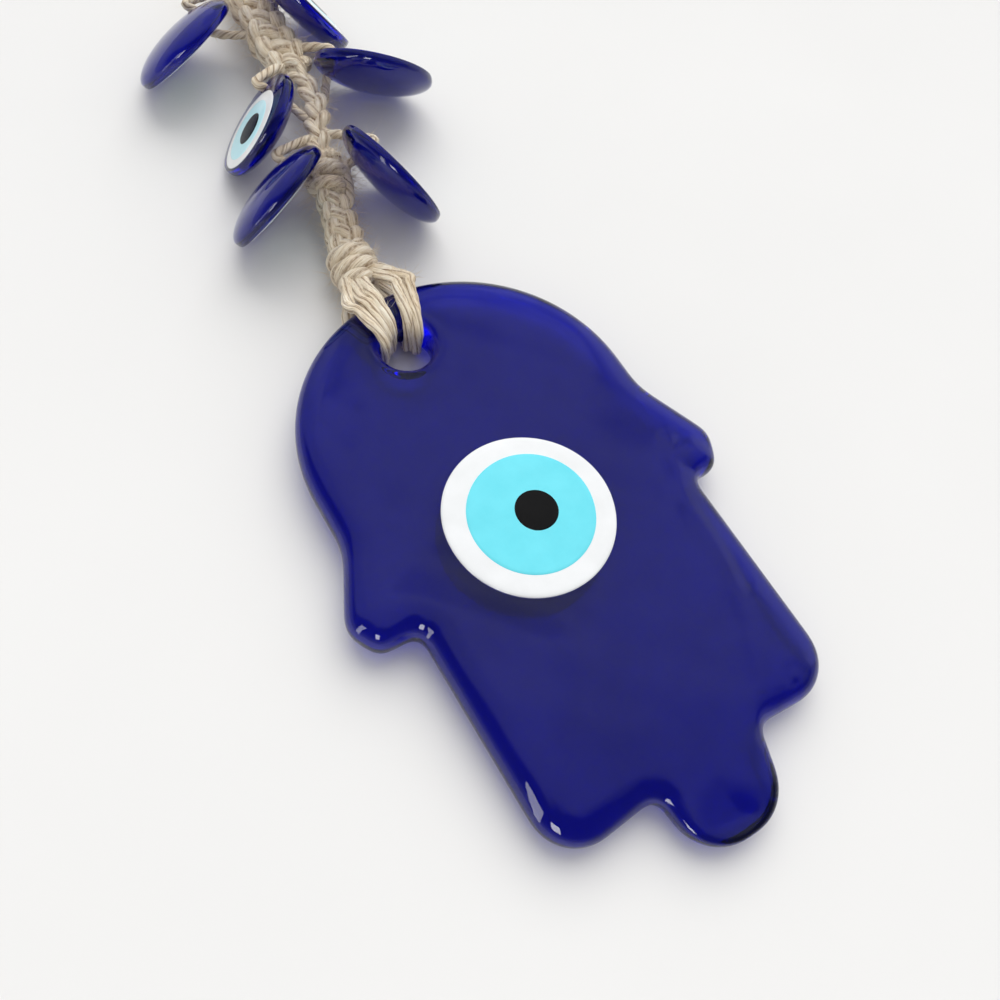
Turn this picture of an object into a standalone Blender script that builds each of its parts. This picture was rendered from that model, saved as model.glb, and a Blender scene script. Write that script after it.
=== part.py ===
"""Evil eye wall hanging: a glass hand with a fused eye, hung from a knotted twine strap.

The strap carries three pairs of flat glass eye beads, one bead of each pair on either side.
The hanging lies on its back on a flat surface, +Z up, with the fingers towards -Y and the
hanging loop towards +Y.  The origin is under the middle of the glass hand.
"""
import math

import bmesh
import bpy
from mathutils import Matrix, Vector

MM = 0.001

# ---------------------------------------------------------------- glass hand (millimetres)
DOME_RADIUS = 33.9          # round top of the hand
HAND_TOP = 61.0             # top of the dome above the middle of the hand
HAND_BOTTOM = -61.0         # tip of the middle finger
HAND_THICK = 8.5
EDGE_INSET = 3.9            # how far in the fire-polished edge begins
EDGE_STEPS = 4              # rings from the middle of the edge to each face
WAIST_Y = 19.3              # where the dome's side begins to swing out to the thumbs
WAIST_RADIUS = 13.0
THUMB_REACH = 40.9          # half span over the two thumbs
THUMB_SHIFT = -0.4
THUMB_Y = 3.3               # height of the thumb tips
THUMB_RADIUS = 5.2
THUMB_HEEL_RADIUS = 3.2
THUMB_NOTCH_Y = -3.1        # lower edge of the thumbs
THUMB_NOTCH_RADIUS = 1.8
PALM_HALF = 30.8            # half width over the outer fingers
PALM_SHIFT = 0.7            # the palm was poured a little to one side
FINGER_END = -48.7          # tips of the outer fingers
FINGER_RADIUS = 8.6
MIDDLE_HALF = 11.5          # half width of the middle finger at its root
MIDDLE_SHIFT = 1.7
MIDDLE_TAPER = 4.2
MIDDLE_RADIUS = 9.2
FINGER_NOTCH_Y = -47.3
FINGER_NOTCH_RADIUS = 2.1

# ---------------------------------------------------------------- hanging hole
HOLE_X, HOLE_Y = -3.7, 47.8
HOLE_RADIUS = 5.0
HOLE_FLARE = 2.6            # the rim is melted round by this much on both faces
HOLE_SEGMENTS = 28

# ---------------------------------------------------------------- eye fused in the hand
EYE_X, EYE_Y = -2.2, 5.1
EYE_WHITE_RADIUS = 16.1
EYE_IRIS_RADIUS = 12.3
EYE_PUPIL_RADIUS = 4.2
EYE_IRIS_SHIFT = 0.35       # the inner discs sit a little off centre
EYE_PUPIL_SHIFT = 1.4
EYE_DEPTH = 2.0             # how deep the white disc sits in the glass
EYE_CROWN = 0.5             # how far the discs stand above the glass
EYE_LAYER = 1.0             # floor left under each inner disc
EYE_SEGMENTS = 40

# ---------------------------------------------------------------- eye beads
BEAD_RADIUS = 13.0
BEAD_RIM = 1.8              # thickness at the edge
BEAD_BACK = 3.4             # height of the domed back
BEAD_BORE_RADIUS = 1.4
BEAD_BORE_WALL = 1.5        # glass left between the bore and the edge
BEAD_WHITE_RADIUS = 9.9
BEAD_IRIS_RADIUS = 7.7
BEAD_PUPIL_RADIUS = 4.0
BEAD_WHITE_EDGE = 0.6       # blue glass left outside the white disc at the far edge
BEAD_DEPTH = 1.0
BEAD_CROWN = 1.0
BEAD_LAYER = 0.5
BEAD_SEGMENTS = 28

# ---------------------------------------------------------------- twine, knots and strap
TWINE_RADIUS = 0.9
BEAD_TWINE_RADIUS = 0.95
LOOP_RADIUS = 1.3
SLING_COUNT = 5             # cords folded through the hole
SLING_HOLE_GAP = 0.425      # air between neighbouring cords inside the hole
SLING_EDGE_GAP = 1.4        # and where they cross the edge of the hand
SLING_KNOT_GAP = 0.417      # and where they go into the knot
SLING_RISE = 23.0           # degrees that the upper cords climb into the knot
SLING_DROP = -32.0          # and that the ones behind the hand fall away from it
KNOT_CENTRE = Vector((-2.3, 71.5, 6.0))
KNOT_RADIUS = 5.0
TOP_KNOT_CENTRE = Vector((15.4, 171.5, 5.1))
TOP_KNOT_RADIUS = 5.0
LOWER_BRAID_RADIUS = 3.4
MIDDLE_BRAID_RADIUS = 2.5
UPPER_BRAID_RADIUS = 4.0

# ---------------------------------------------------------------- clearances
FIT = 0.3                   # gap between pieces that touch or sit in each other
REST = 0.15                 # gap between what lies on the surface and the surface

# The strap's middle line, from the crown knot to the top knot.
STRAP_ROUTE = (
    (-2.0, 73.0, 6.0), (-0.4, 79.4, 6.0), (1.8, 87.7, 6.5), (4.0, 95.8, 7.5), (5.4, 101.8, 8.5),
    (8.0, 107.7, 9.0), (10.4, 113.2, 9.0), (11.4, 119.3, 9.0), (11.2, 125.4, 9.0), (10.9, 132.3, 9.0),
    (11.2, 140.5, 9.0), (12.2, 149.3, 8.6), (13.6, 156.5, 7.2), (14.8, 164.5, 5.8), (15.4, 171.5, 5.1),
)
# Heights along the strap (Y) where one braid ends and the next begins.
BRAID_SPLITS = (99.2, 124.8)

# The hanging loop: out of the top knot, round, and back into it.
LOOP_ROUTE = (
    (13.4, 177.1, 3.6), (12.2, 181, 2.2), (10.6, 186.5, 1.5), (9.0, 192.5, 1.4), (8.2, 198.5, 1.4),
    (9.2, 204.5, 1.4), (12.0, 209.1, 1.4), (16.0, 210.5, 1.4), (19.8, 208.7, 1.4), (22.2, 204.1, 1.4),
    (22.8, 198.1, 1.4), (21.8, 192.1, 1.4), (20.4, 186.3, 1.5), (18.8, 180.9, 2.2), (17.6, 177.1, 3.6),
)

# Each bead: place of its bore (X, Y), direction its eye faces (azimuth, elevation), the turn
# of the bead about its bore, its own size against the common one, and how far along the strap
# its twine leaves and joins the braid.
BEADS = {
    "bead_1_left": dict(bore=(-2.0, 97.0), faces=(-55.0, -33.0), turn=165.0, size=1.0, reach=6.2),
    "bead_1_right": dict(bore=(13.3, 95.7), faces=(14.0, 26.0), turn=11.0, size=1.02, reach=8.5),
    "bead_2_left": dict(bore=(1.5, 118.8), faces=(143.0, 36.0), turn=190.0, size=0.93, reach=7.5),
    "bead_2_right": dict(bore=(18.8, 122.9), faces=(52.0, 37.0), turn=8.0, size=1.03, reach=7.5),
    "bead_3_left": dict(bore=(0.1, 146.9), faces=(-53.0, -43.0), turn=172.0, size=1.01, reach=7.5),
    "bead_3_right": dict(bore=(23.2, 151.2), faces=(9.0, 36.0), turn=20.0, size=1.0, reach=10.5),
}
BORE_LEAD = 2.6             # straight twine in front of the face before it bends to the braid
BACK_LEAD = 0.8             # and behind the domed back


# ================================================================ helpers
def material(name, colour, roughness, metallic=0.0):
    mat = bpy.data.materials.new(name)
    mat.use_nodes = True
    shader = mat.node_tree.nodes["Principled BSDF"]
    shader.inputs["Base Color"].default_value = (*colour, 1.0)
    shader.inputs["Roughness"].default_value = roughness
    shader.inputs["Metallic"].default_value = metallic
    return mat


def add_object(name, mesh, mat, parent=None, smooth=35.0):
    if mesh is not None and hasattr(mesh, "shade_smooth"):
        mesh.shade_smooth()
        mesh.set_sharp_from_angle(angle=math.radians(smooth))
    obj = bpy.data.objects.new(name, mesh)
    bpy.context.scene.collection.objects.link(obj)
    if mat is not None:
        mesh.materials.append(mat)
    obj.parent = parent
    return obj


def add_empty(name, matrix, parent=None):
    empty = bpy.data.objects.new(name, None)
    empty.empty_display_size = 5.0 * MM
    empty.matrix_world = matrix
    empty.parent = parent
    bpy.context.scene.collection.objects.link(empty)
    return empty


def mesh_from_loops(name, loops):
    """Close a stack of equal loops of points (millimetres) into one solid."""
    mesh = bpy.data.meshes.new(name)
    bm = bmesh.new()
    rows = [[bm.verts.new(Vector(point) * MM) for point in loop] for loop in loops]
    count = len(rows[0])
    for low, high in zip(rows, rows[1:]):
        for i in range(count):
            j = (i + 1) % count
            bm.faces.new((low[i], low[j], high[j], high[i]))
    bm.faces.new(list(reversed(rows[0])))
    bm.faces.new(rows[-1])
    bmesh.ops.recalc_face_normals(bm, faces=bm.faces)
    bm.to_mesh(mesh)
    bm.free()
    return mesh


def circle_loop(centre_x, centre_y, radius, z, segments):
    step = 2.0 * math.pi / segments
    return [(centre_x + radius * math.cos(i * step), centre_y + radius * math.sin(i * step), z)
            for i in range(segments)]


def turned(name, rings, segments):
    """A solid of round rings, each (centre x, centre y, radius, height)."""
    return mesh_from_loops(name, [circle_loop(*ring, segments) for ring in rings])


def cut(obj, cutter):
    cutter.hide_render = True
    cutter.display_type = "WIRE"
    boolean = obj.modifiers.new("cut_" + cutter.name, "BOOLEAN")
    boolean.operation = "DIFFERENCE"
    boolean.solver = "EXACT"
    boolean.object = cutter


def smooth_route(points, spacing):
    """Points along a smooth curve through the given ones, about `spacing` millimetres apart."""
    pts = [Vector(p) for p in points]
    pts = [2.0 * pts[0] - pts[1]] + pts + [2.0 * pts[-1] - pts[-2]]
    route = []
    for a, b, c, d in zip(pts, pts[1:], pts[2:], pts[3:]):
        steps = max(1, round((c - b).length / spacing))
        for k in range(steps):
            t = k / steps
            route.append(0.5 * (2.0 * b + (c - a) * t + (2.0 * a - 5.0 * b + 4.0 * c - d) * t * t
                                + (3.0 * b - a - 3.0 * c + d) * t ** 3))
    route.append(pts[-2])
    return route


def tube(name, points, radius, mat, parent=None, resolution=2):
    """A closed round tube along points given in millimetres."""
    curve = bpy.data.curves.new(name, "CURVE")
    curve.dimensions = "3D"
    curve.bevel_depth = radius * MM
    curve.bevel_resolution = resolution
    curve.use_fill_caps = True
    spline = curve.splines.new("POLY")
    spline.points.add(len(points) - 1)
    for knot, point in zip(spline.points, points):
        knot.co = (*(Vector(point) * MM), 1.0)
    obj = bpy.data.objects.new(name, curve)
    curve.materials.append(mat)
    bpy.context.scene.collection.objects.link(obj)
    obj.parent = parent
    return obj


# ================================================================ glass hand
def hand_corners():
    """Corners of the hand's outline, clockwise from the top right: (x, y, radius)."""
    right = PALM_HALF + PALM_SHIFT
    left = -PALM_HALF + PALM_SHIFT
    root_right = MIDDLE_HALF + MIDDLE_SHIFT
    root_left = -MIDDLE_HALF + MIDDLE_SHIFT
    skew = 0.7
    return [
        (DOME_RADIUS, HAND_TOP, DOME_RADIUS),
        (DOME_RADIUS, WAIST_Y, WAIST_RADIUS),
        (THUMB_REACH + THUMB_SHIFT, THUMB_Y + skew, THUMB_RADIUS),
        (THUMB_REACH + THUMB_SHIFT - 3.2, THUMB_NOTCH_Y, THUMB_HEEL_RADIUS),
        (right, THUMB_NOTCH_Y + skew, THUMB_NOTCH_RADIUS),
        (right, FINGER_END + skew, FINGER_RADIUS),
        (root_right, FINGER_NOTCH_Y + skew / 2, FINGER_NOTCH_RADIUS),
        (root_right - MIDDLE_TAPER, HAND_BOTTOM, MIDDLE_RADIUS),
        (root_left + MIDDLE_TAPER / 4, HAND_BOTTOM, MIDDLE_RADIUS),
        (root_left, FINGER_NOTCH_Y - skew / 2, FINGER_NOTCH_RADIUS),
        (left, FINGER_END - skew, FINGER_RADIUS),
        (left, THUMB_NOTCH_Y - skew, THUMB_NOTCH_RADIUS),
        (-THUMB_REACH + THUMB_SHIFT + 3.6, THUMB_NOTCH_Y - skew, THUMB_HEEL_RADIUS),
        (-THUMB_REACH + THUMB_SHIFT, THUMB_Y - skew, THUMB_RADIUS),
        (-DOME_RADIUS - skew / 2, WAIST_Y - 3.0, WAIST_RADIUS),
        (-DOME_RADIUS, HAND_TOP, DOME_RADIUS),
    ]


def rounded_outline(corners, inset):
    """The outline moved inwards by `inset`, every corner an arc with a fixed number of points."""
    count = len(corners)
    normals = []
    for i in range(count):
        ax, ay, _ = corners[i]
        bx, by, _ = corners[(i + 1) % count]
        length = math.hypot(bx - ax, by - ay)
        normals.append(((by - ay) / length, -(bx - ax) / length))
    points = []
    for i in range(count):
        x, y, radius = corners[i]
        nx0, ny0 = normals[i - 1]
        nx1, ny1 = normals[i]
        turn = nx0 * ny1 - ny0 * nx1
        convex = turn < 0.0
        scale = inset / (1.0 + nx0 * nx1 + ny0 * ny1)
        cx = x + (nx0 + nx1) * scale
        cy = y + (ny0 + ny1) * scale
        arc = max(radius - inset, 0.4) if convex else radius + inset
        bend = math.acos(max(-1.0, min(1.0, nx0 * nx1 + ny0 * ny1)))
        side = 1.0 if convex else -1.0
        reach = arc / math.cos(bend / 2.0)
        mx, my = nx0 + nx1, ny0 + ny1
        size = math.hypot(mx, my)
        ox = cx + side * reach * mx / size
        oy = cy + side * reach * my / size
        steps = max(4, round(math.degrees(bend) * (0.4 if radius > 20.0 else 0.18) / 4.0) * 2)
        start = math.atan2(-side * ny0, -side * nx0)
        for k in range(steps + 1):
            angle = start - side * bend * k / steps
            points.append((ox + arc * math.cos(angle), oy + arc * math.sin(angle)))
    return points


def hand_loops():
    corners = hand_corners()
    half = HAND_THICK / 2.0
    loops = []
    for k in range(-EDGE_STEPS, EDGE_STEPS + 1):
        angle = math.radians(90.0 * k / EDGE_STEPS)
        inset = EDGE_INSET * (1.0 - math.cos(angle))
        height = half + half * math.sin(angle)
        loops.append([(x, y, height) for x, y in rounded_outline(corners, inset)])
    return loops


def hole_rings():
    """Rings of the cutter for the hole, its rims flared on both faces."""
    steps = 4
    low = [(HOLE_X, HOLE_Y, HOLE_RADIUS + HOLE_FLARE * (1.0 - math.sin(math.pi / 2 * k / steps)),
            HOLE_FLARE * (1.0 - math.cos(math.pi / 2 * k / steps))) for k in range(steps + 1)]
    high = [(x, y, radius, HAND_THICK - z) for x, y, radius, z in reversed(low)]
    beyond = 1.0
    first = (HOLE_X, HOLE_Y, low[0][2], -beyond)
    last = (HOLE_X, HOLE_Y, high[-1][2], HAND_THICK + beyond)
    return [first] + low + high + [last]


def disc_in_recess(name, mat, parent, disc, inner, floor, top, crown, layer, segments):
    """One disc of an eye, with the recess for the next disc in its upper face.

    disc and inner are (x, y, radius) of this disc and of the one that sits in it, or None.
    """
    x, y, radius = disc
    soft = min(0.4, (top - floor) * 0.4)
    rings = [(x, y, radius - soft * 0.5, floor), (x, y, radius, floor + soft), (x, y, radius, top)]
    if inner is None:
        rings.append((x, y, radius * 0.6, top + crown))
    else:
        ix, iy, inner_radius = inner
        rings.append((ix, iy, inner_radius + FIT, top + crown))
        rings.append((ix, iy, inner_radius + FIT, floor + layer))
    return add_object(name, turned(name, rings, segments), mat, parent)


def build_hand(glass, white, iris, pupil):
    flat_edge = HAND_BOTTOM + EDGE_INSET
    lever = HOLE_Y + HOLE_RADIUS - flat_edge
    tilt = math.asin((2.0 * TWINE_RADIUS + REST + FIT) / lever)
    matrix = (Matrix.Translation(Vector((0.0, flat_edge, 0.02)) * MM) @ Matrix.Rotation(tilt, 4, "X")
              @ Matrix.Translation(Vector((0.0, -flat_edge, 0.0)) * MM))
    frame = add_empty("hand_frame", matrix)
    hand = add_object("glass_hand", mesh_from_loops("glass_hand", hand_loops()), glass, frame)
    cut(hand, add_object("hole_cutter", turned("hole_cutter", hole_rings(), HOLE_SEGMENTS), None, frame))
    recess = (EYE_X, EYE_Y, EYE_WHITE_RADIUS + FIT)
    recess_rings = [(*recess, HAND_THICK - EYE_DEPTH - FIT), (*recess, HAND_THICK + 1.0)]
    cut(hand, add_object("eye_cutter", turned("eye_cutter", recess_rings, EYE_SEGMENTS), None, frame))

    outer = (EYE_X, EYE_Y, EYE_WHITE_RADIUS)
    middle = (EYE_X + EYE_IRIS_SHIFT, EYE_Y, EYE_IRIS_RADIUS)
    centre = (EYE_X + EYE_PUPIL_SHIFT, EYE_Y, EYE_PUPIL_RADIUS)
    floor = HAND_THICK - EYE_DEPTH
    step = EYE_CROWN / 3.0
    disc_in_recess("eye_white", white, frame, outer, middle, floor, HAND_THICK, step, EYE_LAYER,
                   EYE_SEGMENTS)
    floor += EYE_LAYER + FIT
    disc_in_recess("eye_iris", iris, frame, middle, centre, floor, HAND_THICK + step, step,
                   EYE_LAYER / 2.0, EYE_SEGMENTS)
    floor += EYE_LAYER / 2.0 + FIT
    disc_in_recess("eye_pupil", pupil, frame, centre, None, floor, HAND_THICK + 2.0 * step, step, 0.0,
                   EYE_SEGMENTS // 2)
    return frame


# ================================================================ sling through the hole
def build_sling(hand_frame, twine):
    """Cords folded through the hole: over the front face, through, and back underneath."""
    inverse_scale = 1.0 / MM
    place = hand_frame.matrix_world

    def on_hand(x, y, z):
        return (place @ (Vector((x, y, z)) * MM)) * inverse_scale

    clear = TWINE_RADIUS + FIT + 0.2
    ring = HOLE_RADIUS - clear
    lip = HOLE_FLARE + clear
    low = REST + TWINE_RADIUS
    knot_reach = KNOT_RADIUS + 2.0 * FIT
    hole_fan = 2.0 * math.asin((TWINE_RADIUS + SLING_HOLE_GAP / 2.0) / ring)
    narrow = knot_reach * math.cos(math.radians(SLING_DROP))
    knot_fan = 2.0 * math.asin((TWINE_RADIUS + SLING_KNOT_GAP / 2.0) / narrow)
    spread = 2.0 * TWINE_RADIUS + SLING_EDGE_GAP
    for number in range(SLING_COUNT):
        side = number - (SLING_COUNT - 1) / 2.0
        angle = math.radians(90.0) - side * hole_fan
        hole_x = HOLE_X + ring * math.cos(angle)
        hole_y = HOLE_Y + ring * math.sin(angle)
        edge_x = HOLE_X + 1.0 + side * spread
        edge_y = HAND_TOP - DOME_RADIUS + math.sqrt(DOME_RADIUS ** 2 - edge_x ** 2)
        run = math.hypot(edge_x - hole_x, edge_y - hole_y)
        along_x = (edge_x - hole_x) / run
        along_y = (edge_y - hole_y) / run
        fan = math.radians(90.0) - side * knot_fan
        into, under = (
            Vector((math.cos(fan) * math.cos(rise), -math.sin(fan) * math.cos(rise), math.sin(rise)))
            * knot_reach for rise in (math.radians(SLING_RISE), math.radians(SLING_DROP)))

        def out(distance, z):
            return on_hand(hole_x + along_x * distance, hole_y + along_y * distance, z)

        middle_of_bridge = (lip + run - EDGE_INSET) / 2.0
        over_edge = run - EDGE_INSET * 0.5
        route = [KNOT_CENTRE + into, out(run + 1.4, HAND_THICK - 0.4)]
        route += [out(distance, HAND_THICK + clear) for distance in (over_edge, middle_of_bridge)]
        for degrees in (80.0, 50.0, 20.0):
            turn = math.radians(degrees)
            route.append(out(lip * (1.0 - math.cos(turn)), HAND_THICK - HOLE_FLARE + lip * math.sin(turn)))
        for degrees in (20.0, 50.0):
            turn = math.radians(degrees)
            route.append(out(lip * (1.0 - math.cos(turn)), HOLE_FLARE - lip * math.sin(turn)))
        for distance in (lip, middle_of_bridge, over_edge, run + 1.4):
            point = out(distance, 0.0)
            route.append(Vector((point.x, point.y, low)))
        route.append(KNOT_CENTRE + under)
        tube("sling_twine_%d" % (number + 1), smooth_route(route, 1.9), TWINE_RADIUS, twine)


# ================================================================ strap
def route_between(points, start_y, end_y):
    return [p for p in points if start_y <= p.y <= end_y]


def ball_rings(radius):
    steps = 8
    angles = [math.pi * (k + 0.35) / (steps - 0.3) for k in range(steps)]
    return [(0.0, 0.0, radius * math.sin(a), -radius * math.cos(a)) for a in angles]


def build_knot(name, centre, radius, mat):
    knot = add_object(name, turned(name, ball_rings(radius), 16), mat)
    knot.location = centre * MM
    knot.rotation_euler = (0.0, math.radians(90.0), 0.0)
    return knot


def build_strap(twine):
    build_knot("crown_knot", KNOT_CENTRE, KNOT_RADIUS, twine)
    build_knot("top_knot", TOP_KNOT_CENTRE, TOP_KNOT_RADIUS, twine)
    line = smooth_route(STRAP_ROUTE, 0.5)
    first, second = BRAID_SPLITS
    start = next(p.y for p in line if (p - KNOT_CENTRE).length > KNOT_RADIUS + LOWER_BRAID_RADIUS * 0.35)
    end = max(p.y for p in line if (p - TOP_KNOT_CENTRE).length > TOP_KNOT_RADIUS + UPPER_BRAID_RADIUS * 0.45)
    spans = (
        ("braid_lower", start, first, LOWER_BRAID_RADIUS),
        ("braid_middle", first + 2.0 * FIT, second, MIDDLE_BRAID_RADIUS),
        ("braid_upper", second + 2.0 * FIT, end, UPPER_BRAID_RADIUS),
    )
    for name, low, high, radius in spans:
        points = route_between(line, low, high)
        wanted = max(5, round((high - low) / 3.0))
        chosen = [points[round(i * (len(points) - 1) / (wanted - 1))] for i in range(wanted)]
        tube(name, chosen, radius, twine, resolution=3)
    tube("hanging_loop", smooth_route(LOOP_ROUTE, 4.0), LOOP_RADIUS, twine)
    return line


# ================================================================ beads
def bead_sizes(size):
    """Rings of one bead's glass and the place of its eye, measured from its bore."""
    radius = BEAD_RADIUS * size
    centre = radius - BEAD_BORE_WALL - BEAD_BORE_RADIUS
    white = BEAD_WHITE_RADIUS * size
    eye = centre + radius - BEAD_WHITE_EDGE - white
    recess = white + FIT
    rings = [
        (eye, 0.0, recess, -BEAD_DEPTH - FIT),
        (eye, 0.0, recess, 0.0),
        (centre, 0.0, radius - 0.45, 0.0),
        (centre, 0.0, radius, -0.35 * BEAD_RIM),
        (centre, 0.0, radius - 0.2, -BEAD_RIM),
    ]
    steps = 5
    for k in range(1, steps + 1):
        angle = math.radians(78.0 * k / steps)
        rings.append((centre, 0.0, (radius - 0.2) * math.cos(angle), -BEAD_RIM - BEAD_BACK * math.sin(angle)))
    return rings, centre, eye


def bead_matrix(bore, faces, turn, size):
    """Place of a bead: its own Z is the way the eye faces, its own X runs from the bore
    to the middle of the bead, and the bead stands on its edge on the surface."""
    azimuth, elevation = (math.radians(v) for v in faces)
    normal = Vector((math.cos(elevation) * math.cos(azimuth),
                     math.cos(elevation) * math.sin(azimuth), math.sin(elevation)))
    level = Vector((0.0, 0.0, 1.0)).cross(normal).normalized()
    up = normal.cross(level)
    angle = math.radians(turn)
    # turn is measured from the level direction that runs to the right of the strap
    if level.x < 0.0:
        level, up = -level, -up
    if up.z < 0.0:
        up = -up
    out = level * math.cos(angle) + up * math.sin(angle)
    side = normal.cross(out)
    rings, _, _ = bead_sizes(size)
    reach = math.hypot(out.z, side.z)
    lowest = min(out.z * x + normal.z * z - radius * reach for x, _, radius, z in rings)
    origin = Vector((bore[0], bore[1], REST - lowest)) * MM
    turned_to = Matrix((out, side, normal)).transposed().to_4x4()
    return Matrix.Translation(origin) @ turned_to


def build_bead(name, spec, glass, white, iris, pupil):
    frame = add_empty(name + "_pivot", bead_matrix(spec["bore"], spec["faces"], spec["turn"], spec["size"]))
    rings, _, eye = bead_sizes(spec["size"])
    body = add_object(name + "_glass", turned(name + "_glass", rings, BEAD_SEGMENTS), glass, frame)
    through = BEAD_RIM + BEAD_BACK + 2.0
    bore_rings = [(0.0, 0.0, BEAD_BORE_RADIUS, -through), (0.0, 0.0, BEAD_BORE_RADIUS, 2.0)]
    bore = add_object(name + "_bore", turned(name + "_bore", bore_rings, 12), None, frame)
    cut(body, bore)
    size = spec["size"]
    outer = (eye, 0.0, BEAD_WHITE_RADIUS * size)
    middle = (eye, 0.0, BEAD_IRIS_RADIUS * size)
    centre = (eye, 0.0, BEAD_PUPIL_RADIUS * size)
    step = BEAD_CROWN / 3.0
    floor = -BEAD_DEPTH
    disc_in_recess(name + "_white", white, frame, outer, middle, floor, 0.15, step, BEAD_LAYER, 24)
    floor += BEAD_LAYER + FIT
    disc_in_recess(name + "_iris", iris, frame, middle, centre, floor, 0.15 + step, step, BEAD_LAYER, 20)
    floor += BEAD_LAYER + FIT
    disc_in_recess(name + "_pupil", pupil, frame, centre, None, floor, 0.15 + 2.0 * step, step, 0.0, 14)
    return frame


def braid_radius(y):
    first, second = BRAID_SPLITS
    if y < first:
        return LOWER_BRAID_RADIUS
    return MIDDLE_BRAID_RADIUS if y < second else UPPER_BRAID_RADIUS


def build_bead_twine(name, frame, reach, line, twine):
    """The outer cord of the strap, which leaves the braid, runs through the bore and returns."""
    place = frame.matrix_world
    deep = BEAD_RIM + BEAD_BACK

    def on_bore(depth):
        return (place @ (Vector((0.0, 0.0, depth)) * MM)) / MM

    inside = [on_bore(BORE_LEAD), on_bore(0.0), on_bore(-deep * 0.7), on_bore(-deep - BACK_LEAD)]
    if inside[0].y > inside[-1].y:
        inside.reverse()
    ends = []
    for end, step in ((inside[0], -reach), (inside[-1], reach)):
        wanted = (inside[0].y + inside[-1].y) / 2.0 + step
        near = min(line, key=lambda point: abs(point.y - wanted))
        off = end - near
        off.y = 0.0
        ends.append(near + off.normalized() * (braid_radius(near.y) + BEAD_TWINE_RADIUS + 3.0 * FIT))
    route = [ends[0]] + inside + [ends[1]]
    tube(name, smooth_route(route, 1.8), BEAD_TWINE_RADIUS, twine)


# ================================================================ assembly
def build():
    for obj in list(bpy.data.objects):
        bpy.data.objects.remove(obj, do_unlink=True)
    glass = material("cobalt_glass", (0.012, 0.016, 0.16), 0.06)
    white = material("white_glass", (0.86, 0.87, 0.86), 0.15)
    iris = material("turquoise_glass", (0.22, 0.80, 0.90), 0.12)
    pupil = material("black_glass", (0.012, 0.011, 0.010), 0.12)
    twine = material("hemp_twine", (0.66, 0.54, 0.40), 0.90)

    hand_frame = build_hand(glass, white, iris, pupil)
    bpy.context.view_layer.update()
    build_sling(hand_frame, twine)
    line = build_strap(twine)
    for name, spec in BEADS.items():
        frame = build_bead(name, spec, glass, white, iris, pupil)
        bpy.context.view_layer.update()
        build_bead_twine(name + "_twine", frame, spec["reach"], line, twine)


build()
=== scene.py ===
"""Looks of the evil eye wall hanging: cobalt glass hand, flat glass eye beads and knotted hemp strap."""
import math
import random

import bmesh
import bpy
import numpy as np
from mathutils import Matrix, Vector
from mathutils.geometry import delaunay_2d_cdt


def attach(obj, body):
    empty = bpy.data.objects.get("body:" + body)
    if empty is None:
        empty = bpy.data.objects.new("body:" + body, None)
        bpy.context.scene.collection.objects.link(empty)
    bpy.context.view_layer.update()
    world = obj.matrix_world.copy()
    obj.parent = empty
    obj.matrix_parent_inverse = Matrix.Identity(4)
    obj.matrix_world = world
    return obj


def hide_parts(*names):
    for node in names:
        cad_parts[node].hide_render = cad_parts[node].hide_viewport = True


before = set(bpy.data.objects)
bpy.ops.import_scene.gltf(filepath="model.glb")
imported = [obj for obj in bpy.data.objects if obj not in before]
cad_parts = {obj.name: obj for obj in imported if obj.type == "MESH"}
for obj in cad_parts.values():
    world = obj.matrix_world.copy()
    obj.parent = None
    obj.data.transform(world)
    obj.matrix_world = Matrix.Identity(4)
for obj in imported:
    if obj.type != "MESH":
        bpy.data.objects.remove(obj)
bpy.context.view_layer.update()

MM = 0.001
scene = bpy.context.scene
scene.view_settings.view_transform = "Standard"
rng = random.Random(7)


# ---------------------------------------------------------------- sizes (millimetres)
DOME_RADIUS, HAND_TOP, HAND_BOTTOM, HAND_THICK = 33.9, 61.0, -61.0, 8.5
HOLE_X, HOLE_Y, HOLE_RADIUS, HOLE_FLARE = -3.7, 47.8, 5.0, 2.6
EYE_X, EYE_Y = -2.2, 5.1
BOTTOM_INSET = 3.9          # width of the rounded lower edge
MELT = 1.1                  # how far the fire has rounded the corners of the outline
LOWER_FLARE = 1.1           # softened lower rim of the hole
TOP_INSET = 6.4             # width of the softer upper edge
TWINE_RADIUS, REST, FIT = 0.9, 0.15, 0.3
KNOT = Vector((-2.3, 71.5, 6.0))
KNOT_RADIUS = 5.0
TOP_KNOT = Vector((15.4, 171.5, 5.1))
SPLITS = (99.2, 124.8)
STRAP_ROUTE = (
    (-2.0, 73.0, 6.0), (-0.4, 79.4, 6.0), (1.8, 87.7, 6.5), (4.0, 95.8, 7.5), (5.4, 101.8, 8.5),
    (8.0, 107.7, 9.0), (10.4, 113.2, 9.0), (11.4, 119.3, 9.0), (11.2, 125.4, 9.0), (10.9, 132.3, 9.0),
    (11.2, 140.5, 9.0), (12.2, 149.3, 8.6), (13.6, 156.5, 7.2), (14.8, 164.5, 5.8), (15.4, 171.5, 5.1),
)
LOOP_ROUTE = (
    (13.4, 177.1, 3.6), (12.2, 181.0, 2.2), (10.6, 186.5, 1.5), (9.0, 192.5, 1.4), (8.2, 198.5, 1.4),
    (9.2, 204.5, 1.4), (12.0, 209.1, 1.4), (16.0, 210.5, 1.4), (19.8, 208.7, 1.4), (22.2, 204.1, 1.4),
    (22.8, 198.1, 1.4), (21.8, 192.1, 1.4), (20.4, 186.3, 1.5), (18.8, 180.9, 2.2), (17.6, 177.1, 3.6),
)
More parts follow.
